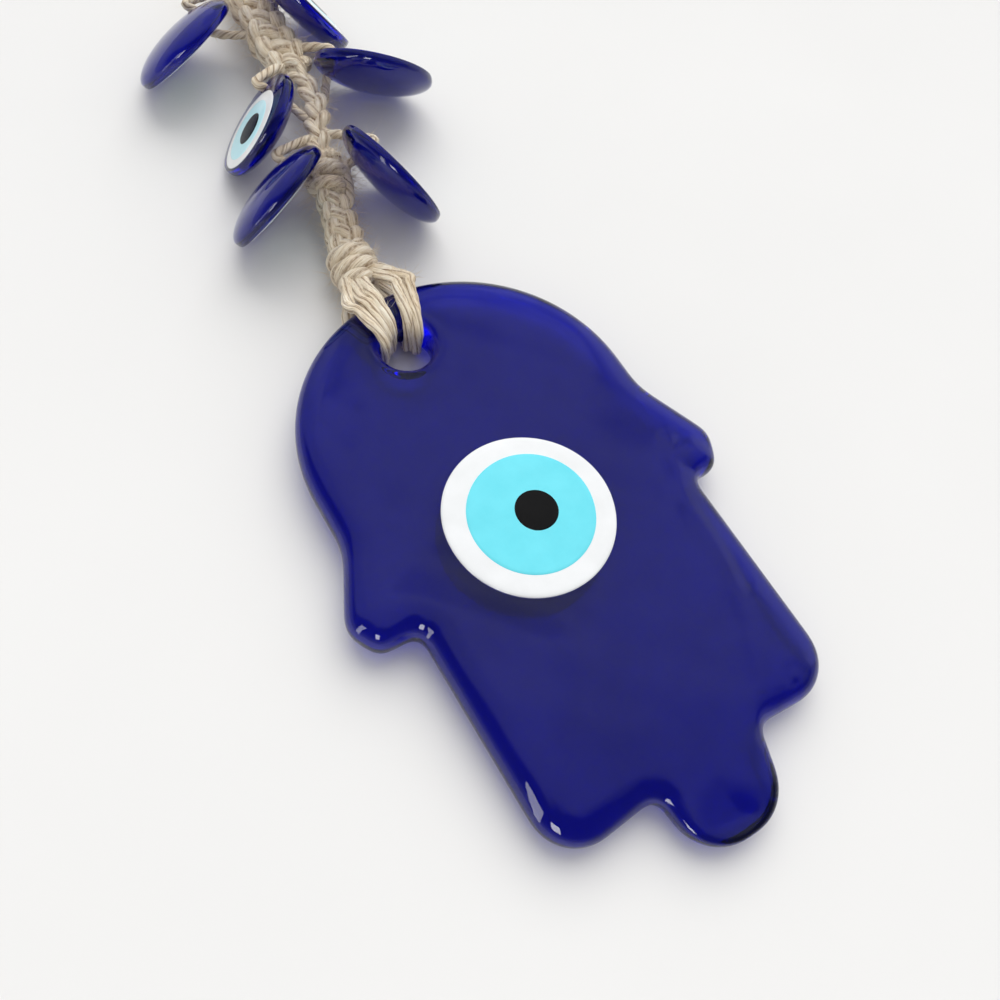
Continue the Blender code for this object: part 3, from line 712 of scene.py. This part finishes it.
def inlay(centre_x, radius, top, depth, follow, wave, segments=96):
    """A disc of fused glass: soft edge, upper face following the glass it lies in."""
    verts, faces = [], []
    profile = [(share, 1.0) for share in np.linspace(0.02, 0.93, 14)]
    profile += [(0.93 + 0.07 * math.sin(a), math.cos(a)) for a in np.radians([22, 45, 65, 82])]
    profile += [(1.0, -1.0), (0.9, -3.0)]
    for share, rise in profile:
        for k in range(segments):
            a = 2.0 * math.pi * k / segments
            oval = math.sin(2.0 * a + radius) + 0.6 * math.sin(3.0 * a + 2.0 * radius)
            r = radius * share * (1.0 + wave * oval * share)
            x, y = centre_x + r * math.cos(a), r * math.sin(a)
            base = follow(x, y)
            if rise >= 0.0:
                z = base + top * rise
            else:
                z = base + rise * depth * 0.333
            verts.append((x, y, z))
    rows = len(profile)
    for i in range(rows - 1):
        for k in range(segments):
            j = (k + 1) % segments
            low, high = i * segments, (i + 1) * segments
            faces.append((low + k, low + j, high + j, high + k))
    faces.append(tuple(range(segments - 1, -1, -1)))
    faces.append(tuple(range((rows - 1) * segments, rows * segments)))
    return verts, faces


def build_bead(name, spec):
    place = bead_place(name, spec)
    size = spec["size"]
    (verts, faces), centre = bead_glass_mesh(size)
    moved = [tuple(place @ Vector(v)) for v in verts]
    glass = new_piece(name + "_cobalt", moved, faces, BEAD_GLASS, name, (name + "_glass",))
    drill(glass, place)
    radius = BEAD_RADIUS * size
    eye = centre + radius - WHITE_EDGE - WHITE_RADIUS * size

    def follow(x, y):
        return front_height(math.hypot(x - centre, y), radius)

    made = [glass]
    aside = PUPIL_ASIDE if name == "bead_2_left" else 0.0
    for part, disc, shift, top, mat, slot in (
            ("white", WHITE_RADIUS, 0.0, 0.10, WHITE, "white_glass"),
            ("iris", IRIS_RADIUS, 0.3, 0.17, PALE_IRIS, "turquoise_glass"),
            ("pupil", PUPIL_RADIUS, 0.8, 0.24, PUPIL, "black_glass")):
        verts, faces = inlay(eye + shift, disc * size, top, 0.8, follow, DISC_WAVE, 72)
        step = Vector((0.0, aside if part == "pupil" else 0.0, 0.0))
        moved = [tuple(place @ (Vector(v) + step)) for v in verts]
        made.append(new_piece(name + "_" + part + "_inlay", moved, faces, mat, name,
                              (name + "_" + part,)))
    return made


def braid_radius(y):
    if y < SPLITS[0]:
        return 3.4
    return 2.5 if y < SPLITS[1] else 4.0


def build_bead_twine(name, spec):
    """The outer cord of the strap: out of the braid, through the bore, back into the braid."""
    place = bead_place(name, spec)
    deep = BEAD_RIM + BEAD_BACK
    inside = [place @ Vector((0.0, 0.0, d)) for d in (2.5, 0.0, -deep * 0.7, -deep - 0.8)]
    if inside[0].y > inside[-1].y:
        inside.reverse()
    ends = []
    for end, step in ((inside[0], -spec["reach"]), (inside[-1], spec["reach"])):
        wanted = (inside[0].y + inside[-1].y) / 2.0 + step
        near = min(strap_line, key=lambda point: abs(point.y - wanted))
        off = end - near
        off.y = 0.0
        ends.append((near, near + off.normalized() * braid_radius(near.y)))
    route = [ends[0][0], ends[0][1]] + inside + [ends[1][1], ends[1][0]]
    weave = Weave()
    line = smooth_route(route, LINE_STEP)
    weave.strand(line, 1.0, twist=8.0, plies=3, groove=0.28, taper=1.5)
    add_hairs(weave, line, 0.9, 22, 3.5)
    return weave.piece(name + "_cord", TWINE, "strap", (name + "_twine",))


# ---------------------------------------------------------------- the cords, then what hangs on them
strap_braid = build_strap()
loop_piece, loop_line = build_loop()
fluff = build_fluff(loop_line)
crown = wrapped_knot("crown_wraps", KNOT, (0.12, 1.0, 0.05), "knot", "crown_knot", 3.1, 3.5, 1.95, 2.9)
top_wraps = wrapped_knot("top_wraps", TOP_KNOT, (0.1, 1.0, -0.12), "strap", "top_knot", 3.4, 3.2, 1.6, 2.4)
build_sling()
bead_pieces = {name: build_bead(name, spec) for name, spec in BEADS.items()}
bead_cords = {name: build_bead_twine(name, spec) for name, spec in BEADS.items()}


on_strap = [crown, fluff] + [bead_cords[n] for n in BEADS if not n.startswith("bead_3")]
on_loop = [top_wraps, bead_cords["bead_3_left"], bead_cords["bead_3_right"]]
for name, pieces in bead_pieces.items():
    (on_loop if name.startswith("bead_3") else on_strap).extend(pieces)


# ---------------------------------------------------------------- glass hand
def hand_corners():
    """Corners of the hand's outline, clockwise from the top right: (x, y, radius)."""
    waist, thumb_y, notch_y, finger_end, finger_notch = 19.3, 3.3, -3.1, -48.7, -47.3
    reach, reach_shift, palm, palm_shift = 40.9, -0.4, 30.8, 0.7
    middle, middle_shift, taper, skew = 11.5, 1.7, 4.2, 0.7
    right, left = palm + palm_shift, -palm + palm_shift
    root_right, root_left = middle + middle_shift, -middle + middle_shift
    return [
        (DOME_RADIUS, HAND_TOP, DOME_RADIUS), (DOME_RADIUS, waist, 13.0),
        (reach + reach_shift, thumb_y + skew, 5.2), (reach + reach_shift - 3.2, notch_y, 3.2),
        (right, notch_y + skew, 1.8), (right, finger_end + skew, 8.6),
        (root_right, finger_notch + skew / 2, 2.1), (root_right - taper, HAND_BOTTOM, 9.2),
        (root_left + taper / 4, HAND_BOTTOM, 9.2), (root_left, finger_notch - skew / 2, 2.1),
        (left, finger_end - skew, 8.6), (left, notch_y - skew, 1.8),
        (-reach + reach_shift + 3.6, notch_y - skew, 3.2), (-reach + reach_shift, thumb_y - skew, 5.2),
        (-DOME_RADIUS - skew / 2, waist - 3.0, 13.0), (-DOME_RADIUS, HAND_TOP, DOME_RADIUS),
    ]


def rounded_outline(corners, spacing):
    """The outline as points `spacing` apart or closer, every corner an arc."""
    count = len(corners)
    normals = []
    for i in range(count):
        ax, ay, _ = corners[i]
        bx, by, _ = corners[(i + 1) % count]
        length = math.hypot(bx - ax, by - ay)
        normals.append(((by - ay) / length, -(bx - ax) / length))
    points = []
    for i in range(count):
        x, y, radius = corners[i]
        (nx0, ny0), (nx1, ny1) = normals[i - 1], normals[i]
        convex = nx0 * ny1 - ny0 * nx1 < 0.0
        bend = math.acos(max(-1.0, min(1.0, nx0 * nx1 + ny0 * ny1)))
        side = 1.0 if convex else -1.0
        reach = radius / math.cos(bend / 2.0)
        size = math.hypot(nx0 + nx1, ny0 + ny1)
        ox, oy = x + side * reach * (nx0 + nx1) / size, y + side * reach * (ny0 + ny1) / size
        steps = max(6, int(radius * bend / spacing))
        start = math.atan2(-side * ny0, -side * nx0)
        for k in range(steps + 1):
            angle = start - side * bend * k / steps
            points.append((ox + radius * math.cos(angle), oy + radius * math.sin(angle)))
    filled = []
    for (ax, ay), (bx, by) in zip(points, points[1:] + points[:1]):
        steps = max(1, int(math.hypot(bx - ax, by - ay) / (spacing * 1.5)))
        filled += [(ax + (bx - ax) * k / steps, ay + (by - ay) * k / steps) for k in range(steps)]
    ring = np.array(filled + filled[:1])
    run = np.r_[0.0, np.cumsum(np.linalg.norm(np.diff(ring, axis=0), axis=1))]
    wanted = np.linspace(0.0, run[-1], int(run[-1] / spacing), endpoint=False)
    even = np.column_stack([np.interp(wanted, run, ring[:, k]) for k in range(2)])
    reach = np.arange(-8, 9)
    weight = np.exp(-0.5 * (reach * spacing / MELT) ** 2)
    return sum(w * np.roll(even, k, axis=0) for k, w in zip(reach, weight / weight.sum()))


def distance_to(outline, points):
    """Distance of each point to a closed outline."""
    a = outline
    b = np.roll(outline, -1, axis=0)
    best = np.full(len(points), 1e9)
    for start, end in zip(a, b):
        d = end - start
        t = np.clip(((points - start) @ d) / (d @ d), 0.0, 1.0)
        gap = np.linalg.norm(points - start - t[:, None] * d, axis=1)
        best = np.minimum(best, gap)
    return best


def inside(outline, points):
    """Whether each point lies within a closed outline."""
    x, y = points[:, 0], points[:, 1]
    hit = np.zeros(len(points), bool)
    for (ax, ay), (bx, by) in zip(outline, np.roll(outline, -1, axis=0)):
        if ay == by:
            continue
        cross = ((ay > y) != (by > y)) & (x < (bx - ax) * (y - ay) / (by - ay) + ax)
        hit ^= cross
    return hit


def slow_wave(x, y):
    """Slow unevenness of the poured upper face."""
    return (0.10 * np.sin(x * 0.11 + 0.6) * np.cos(y * 0.09 - 0.4) + 0.06 * np.sin(x * 0.21 - y * 0.17)
            + 0.03 * np.sin(x * 0.43 + y * 0.38 + 1.0))


RIDGE = ((30.6, 5.8), (25.6, -6.3), (24.5, -19.6), (21.5, -31.3), (16.8, -41.2), (9.6, -49.1))
GROOVE = ((27.8, -9.0), (27.4, -17.0), (26.2, -25.0))
THUMB_LOBE, BUBBLE_RING, PIT = (33.4, 1.2), (23.1, -43.4), (2.1, -58.1)
OUTLINE_STEP, GRID_STEP, HOLE_STEPS = 0.45, 0.85, 72
EDGE_RINGS = (0.04, 0.14, 0.32, 0.6, 0.95, 1.4, 1.9, 2.5)           # insets from the outline
HOLE_RINGS = (0.05, 0.18, 0.4, 0.7, 1.1, 1.6, 2.1, 2.7, 3.4)        # distances from the hole
EDGE_CLEAR, HOLE_CLEAR = 2.95, 3.9                                  # where the even grid begins
CROWN, FACE_DROP = 0.35, 0.25       # swell of the middle of the hand, and how far its face is lowered
TIP_DROOP, TIP_START, TIP_REACH = 3.4, -31.0, 30.0                  # the fingertips thin towards their ends
ON_EDGE = 1e-3


def distance_to_path(path, points):
    """Distance of each point to an open path."""
    best = np.full(len(points), 1e9)
    for a, b in zip(np.array(path), np.array(path[1:])):
        d = b - a
        t = np.clip(((points - a) @ d) / (d @ d), 0.0, 1.0)
        best = np.minimum(best, np.linalg.norm(points - a - t[:, None] * d, axis=1))
    return best


def melt_marks(points):
    """Soft ridge, groove, thumb lobe and bubbles left in the upper face by the fire."""
    height = 0.30 * np.exp(-0.5 * (distance_to_path(RIDGE, points) / 1.3) ** 2)
    height -= 0.32 * np.exp(-0.5 * (distance_to_path(GROOVE, points) / 0.8) ** 2)
    lobe = np.linalg.norm(points - THUMB_LOBE, axis=1)
    height += 0.45 * np.exp(-0.5 * (lobe / 2.2) ** 2) - 0.22 * np.exp(-((lobe - 3.7) / 0.7) ** 2)
    bubble = np.linalg.norm(points - BUBBLE_RING, axis=1)
    height -= 0.25 * np.exp(-((bubble - 1.5) / 0.55) ** 2)
    height -= 0.30 * np.exp(-(np.linalg.norm(points - PIT, axis=1) / 0.8) ** 2)
    return height


def top_profile(edge, hole):
    """Height of the upper face over the middle plane, from the distance to the edge and the hole."""
    share = np.clip(edge / TOP_INSET, 0.0, 1.0)
    roll = (1.0 - (1.0 - share) ** 2.6) ** (1.0 / 2.15)
    rim = np.clip(hole / HOLE_FLARE, 0.0, 1.0)
    lip = np.sqrt(1.0 - (1.0 - rim) ** 2)
    return roll * lip


def bottom_profile(edge, hole):
    """Depth of the lower face under the middle plane, from the same two distances."""
    share = np.clip(edge / (BOTTOM_INSET * 0.72), 0.0, 1.0)
    rim = np.clip(hole / LOWER_FLARE, 0.0, 1.0)
    return np.sqrt(1.0 - (1.0 - share) ** 2) * np.sqrt(1.0 - (1.0 - rim) ** 2)


def from_hole(points):
    """Distance of each point to the wall of the hole, negative inside it."""
    return np.hypot(points[:, 0] - HOLE_X, points[:, 1] - HOLE_Y) - HOLE_RADIUS


def hand_points(outline, hole):
    """Points of the flat hand: close rings along the outline and the hole, an even grid between."""
    tangent = np.roll(outline, -1, axis=0) - np.roll(outline, 1, axis=0)
    normal = np.column_stack((tangent[:, 1], -tangent[:, 0]))
    normal /= np.linalg.norm(normal, axis=1)[:, None]
    extra = []
    for inset in EDGE_RINGS:
        moved = outline + normal * inset
        gap = distance_to(outline, moved)
        keep = (gap > inset * 0.93) & inside(outline, moved)
        thin = np.arange(len(moved)) % (1 if inset < 1.5 else 2) == 0
        extra.append(moved[keep & thin])
    for gap in HOLE_RINGS:
        scale = (HOLE_RADIUS + gap) / HOLE_RADIUS
        extra.append((hole - (HOLE_X, HOLE_Y)) * scale + (HOLE_X, HOLE_Y))
    gx, gy = np.meshgrid(np.arange(-42.0, 42.0, GRID_STEP), np.arange(HAND_BOTTOM, HAND_TOP, GRID_STEP))
    gx = gx + (np.arange(gx.shape[0]) % 2)[:, None] * GRID_STEP / 2
    grid = np.column_stack((gx.ravel(), gy.ravel()))
    grid = grid[inside(outline, grid)]
    grid = grid[(distance_to(outline, grid) > EDGE_CLEAR) & (from_hole(grid) > HOLE_CLEAR)]
    inner = np.vstack(extra)
    inner = inner[from_hole(inner) > 0.02]
    return np.vstack((outline, hole, inner, grid))


def build_hand():
    """Two faces over one flat net of triangles, joined along the outline and round the hole."""
    outline = rounded_outline(hand_corners(), OUTLINE_STEP)
    hole = np.array([(HOLE_X + HOLE_RADIUS * math.cos(2 * math.pi * k / HOLE_STEPS),
                      HOLE_Y + HOLE_RADIUS * math.sin(2 * math.pi * k / HOLE_STEPS))
                     for k in range(HOLE_STEPS)])
    points = hand_points(outline, hole)
    a, b = len(outline), len(hole)
    edges = [(i, (i + 1) % a) for i in range(a)] + [(a + i, a + (i + 1) % b) for i in range(b)]
    flat, _, faces, _, _, _ = delaunay_2d_cdt([Vector(p) for p in points], edges, [], 1, 1e-5)
    flat = np.array([tuple(v) for v in flat])
    middle = np.array([flat[list(f)].mean(0) for f in faces])
    keep = inside(outline, middle) & (from_hole(middle) > -0.01 * HOLE_RADIUS)
    faces = [f for f, k in zip(faces, keep) if k]
    edge = distance_to(outline, flat)
    edge[edge < ON_EDGE] = 0.0
    to_hole = distance_to(hole, flat) * (from_hole(flat) > -0.1)
    to_hole[to_hole < ON_EDGE] = 0.0
    half = HAND_THICK / 2.0
    rise = top_profile(edge, to_hole)
    crown = CROWN * (1.0 - np.exp(-edge / 12.0))
    droop = TIP_DROOP * np.clip((TIP_START - flat[:, 1]) / TIP_REACH, 0.0, 1.0) ** 2
    droop *= np.clip((17.0 - flat[:, 0]) / 16.0, 0.3, 1.0)
    uneven = slow_wave(flat[:, 0], flat[:, 1]) + crown - FACE_DROP + melt_marks(flat)
    top = half + half * rise + uneven * rise ** 3 - droop * rise ** 2
    low = half - half * bottom_profile(edge, to_hole)
    rim = (edge == 0.0) | (to_hole == 0.0)
    count = len(flat)
    lower_index = np.where(rim, np.arange(count), np.arange(count) + count)
    verts = np.vstack((np.column_stack((flat, top)), np.column_stack((flat, low))))
    all_faces = [tuple(f) for f in faces] + [tuple(int(lower_index[v]) for v in reversed(f)) for f in faces]
    used = sorted(set(v for f in all_faces for v in f))
    renumber = {old: new for new, old in enumerate(used)}
    all_faces = [tuple(renumber[v] for v in f) for f in all_faces]
    moved = [tuple(on_hand(*verts[i])) for i in used]
    new_piece("hand_of_glass", moved, all_faces, HAND_GLASS, "hand", ("glass_hand",))


def hand_top(x, y):
    return HAND_THICK + float(slow_wave(np.array(x), np.array(y))) + 0.08


def build_eye():
    def follow(x, y):
        r = math.hypot(x - EYE_X, y) / EYE_WHITE_RADIUS
        return hand_top(x, y + EYE_Y) + 0.18 * max(0.0, 1.0 - r * r)

    for part, radius, shift, top, mat, slot in (
            ("white", EYE_WHITE_RADIUS, 0.0, 0.30, WHITE, "white_glass"),
            ("iris", EYE_IRIS_RADIUS, 0.35, 0.42, IRIS, "turquoise_glass"),
            ("pupil", EYE_PUPIL_RADIUS, 1.4, 0.52, PUPIL, "black_glass")):
        verts, faces = inlay(EYE_X + shift, radius, top, 1.4, follow, DISC_WAVE, 160)
        moved = [tuple(on_hand(x, y + EYE_Y, z)) for x, y, z in verts]
        new_piece("eye_" + part + "_inlay", moved, faces, mat, "hand", ("eye_" + part,))


build_hand()
build_eye()


# ---------------------------------------------------------------- table and light
TABLE_HALF = 5.0                        # metres
SUN_DISTANCE, WINDOW_DISTANCE = 1.5, 1.2
ROOM_BRIGHT_SIDE = (0.526, 0.628, 0.574)
ROOM_SIDE_PANE = (0.94, 0.094, 0.33)


def build_stage():
    mesh = bpy.data.meshes.new("table")
    corners = [(x * TABLE_HALF, y * TABLE_HALF, 0.0) for x, y in ((-1, -1), (1, -1), (1, 1), (-1, 1))]
    mesh.from_pydata(corners, [], [(0, 1, 2, 3)])
    mesh.materials.append(floor_material())
    table = bpy.data.objects.new("table", mesh)
    scene.collection.objects.link(table)


def aim(lamp, azimuth, elevation, distance):
    """Puts a lamp at a direction from the object, pointing back at it."""
    a, e = math.radians(azimuth), math.radians(elevation)
    direction = Vector((math.cos(e) * math.cos(a), math.cos(e) * math.sin(a), math.sin(e)))
    lamp.location = direction * distance
    lamp.rotation_euler = direction.to_track_quat("Z", "Y").to_euler()
    scene.collection.objects.link(lamp)


def broad_light(name, azimuth, elevation, spread, strength):
    """A wide soft light that shapes the shading but leaves no reflection in the glass."""
    data = bpy.data.lights.new(name, "SUN")
    data.angle = math.radians(spread)
    data.energy = strength
    lamp = bpy.data.objects.new(name, data)
    lamp.visible_glossy = False
    aim(lamp, azimuth, elevation, SUN_DISTANCE)


def window_light(name, azimuth, elevation, size, power):
    """A bright pane that the glass reflects but that doesn't light the table."""
    data = bpy.data.lights.new(name, "AREA")
    data.shape = "RECTANGLE"
    data.size, data.size_y = size
    data.energy = power
    lamp = bpy.data.objects.new(name, data)
    lamp.visible_diffuse = False
    aim(lamp, azimuth, elevation, WINDOW_DISTANCE)


def facing(tree, direction, wanted):
    """How nearly a direction is the wanted one."""
    made = node(tree, "ShaderNodeVectorMath", operation="DOT_PRODUCT")
    link(tree, direction, made.inputs[0])
    made.inputs[1].default_value = wanted
    return made.outputs["Value"]


def lighter(tree, a, b):
    made = node(tree, "ShaderNodeMix", data_type="RGBA", blend_type="LIGHTEN")
    made.inputs["Factor"].default_value = 1.0
    link(tree, a, made.inputs["A"])
    link(tree, b, made.inputs["B"])
    return made.outputs["Result"]


def build_world():
    """A soft grey room, paler towards the right and the back and along the horizon."""
    world = bpy.data.worlds.new("studio")
    world.use_nodes = True
    tree = world.node_tree
    direction = node(tree, "ShaderNodeTexCoord").outputs["Generated"]
    half = maths(tree, "MULTIPLY_ADD", facing(tree, direction, ROOM_BRIGHT_SIDE), 0.5)
    half.node.inputs[2].default_value = 0.5
    drift = maths(tree, "MULTIPLY_ADD", noise(tree, direction, 3.2, 2.0), 0.22)
    drift.node.inputs[2].default_value = -0.11
    shade = ramp(tree, maths(tree, "ADD", half, drift),
                 ((0.0, (0.06, 0.06, 0.07)), (0.67, (0.07, 0.07, 0.085)), (0.73, (0.38, 0.39, 0.42)),
                  (0.84, (0.45, 0.46, 0.49)), (0.93, (0.62, 0.63, 0.66)), (0.96, (0.34, 0.35, 0.38)),
                  (1.0, (0.60, 0.61, 0.63))))
    height = node(tree, "ShaderNodeSeparateXYZ")
    link(tree, direction, height.inputs[0])
    low = ramp(tree, height.outputs["Z"], ((0.0, (0.50, 0.50, 0.52)), (0.22, (0.42, 0.42, 0.44)),
                                           (0.42, (0.10, 0.10, 0.11)), (1.0, (0.05, 0.05, 0.05))))
    pane = ramp(tree, facing(tree, direction, ROOM_SIDE_PANE),
                ((0.80, (0.0, 0.0, 0.0)), (0.90, (0.72, 0.73, 0.77))))
    room = lighter(tree, lighter(tree, shade, low), pane)
    link(tree, room, tree.nodes["Background"].inputs["Color"])
    tree.nodes["Background"].inputs["Strength"].default_value = 1.0
    scene.world = world


build_stage()
build_world()
broad_light("room_key", 50.0, 52.0, 60.0, 1.62)
broad_light("room_fill", 200.0, 80.0, 160.0, 1.3)
window_light("window_front", -140.0, 38.0, (0.30, 0.46), 4.0)
window_light("window_left", 186.0, 24.0, (0.20, 1.10), 3.2)
